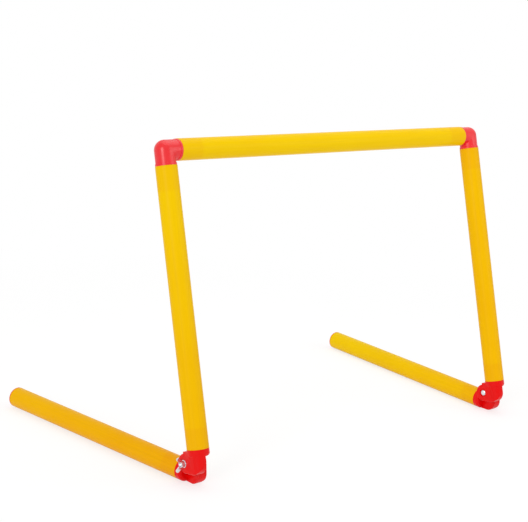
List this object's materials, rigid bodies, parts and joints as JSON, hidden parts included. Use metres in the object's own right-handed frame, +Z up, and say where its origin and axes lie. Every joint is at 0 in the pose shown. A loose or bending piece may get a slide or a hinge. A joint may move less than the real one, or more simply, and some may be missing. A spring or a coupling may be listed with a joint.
{
  "type": "speed hurdle",
  "caption": "Low training hurdle of plastic pipe: a crossbar on two leaning uprights with moulded corner elbows, and ground legs that fold flat on clamped hinges.",
  "frame": {"origin": "on the floor, in the middle of the space that the standing hurdle takes up", "axes": "+X along the crossbar from the left upright to the right one, +Y the way the legs point from the hinges, +Z up"},
  "size_m": [0.7492, 0.4526, 0.4792],
  "materials": {
    "tube_plastic": "extruded yellow pipe, semi-gloss",
    "moulded_plastic": "injection-moulded red plastic, glossy",
    "zinc_steel": "bright zinc plating"
  },
  "bodies": {
    "frame": {"crossbar_tube": "tube_plastic", "left_elbow": "moulded_plastic", "left_upright_tube": "tube_plastic", "left_upper_hinge_half": "moulded_plastic", "right_elbow": "moulded_plastic", "right_upright_tube": "tube_plastic", "right_upper_hinge_half": "moulded_plastic", "right_hinge_bolt": "zinc_steel"},
    "left_leg": {"left_lower_hinge_half": "moulded_plastic", "left_leg_tube": "tube_plastic", "left_end_plug": "moulded_plastic", "left_hinge_bolt": "zinc_steel"},
    "left_nut_washer": {"left_washer": "zinc_steel"},
    "left_nut": {"left_wing_nut": "zinc_steel"},
    "right_leg": {"right_lower_hinge_half": "moulded_plastic", "right_leg_tube": "tube_plastic", "right_end_plug": "moulded_plastic"},
    "right_nut_washer": {"right_washer": "zinc_steel"},
    "right_nut": {"right_wing_nut": "zinc_steel"}
  },
  "joints": [
    {"name": "left_leg_fold", "type": "hinge", "parent": "frame", "child": "left_leg", "pos_m": [-0.322, -0.1945, 0.0324], "axis": [1, 0, 0], "range_deg": [-15, 75]},
    {"name": "right_leg_fold", "type": "hinge", "parent": "frame", "child": "right_leg", "pos_m": [0.322, -0.1945, 0.0324], "axis": [1, 0, 0], "range_deg": [-15, 75]},
    {"name": "left_nut_lead", "type": "slide", "parent": "left_leg", "child": "left_nut_washer", "axis": [-1, 0, 0], "range_m": [0, 0.00162]},
    {"name": "left_nut_turn", "type": "hinge", "parent": "left_nut_washer", "child": "left_nut", "pos_m": [-0.3375, -0.1945, 0.0324], "axis": [-1, 0, 0], "range_deg": [0, 720]},
    {"name": "right_nut_lead", "type": "slide", "parent": "frame", "child": "right_nut_washer", "axis": [1, 0, 0], "range_m": [0, 0.00162]},
    {"name": "right_nut_turn", "type": "hinge", "parent": "right_nut_washer", "child": "right_nut", "pos_m": [0.3375, -0.1945, 0.0324], "axis": [1, 0, 0], "range_deg": [0, 720]}
  ],
  "couplings": [
    {"joint": "left_nut_lead", "follows": "left_nut_turn", "m_per_rad": 0.00012732},
    {"joint": "right_nut_lead", "follows": "right_nut_turn", "m_per_rad": 0.00012732}
  ]
}
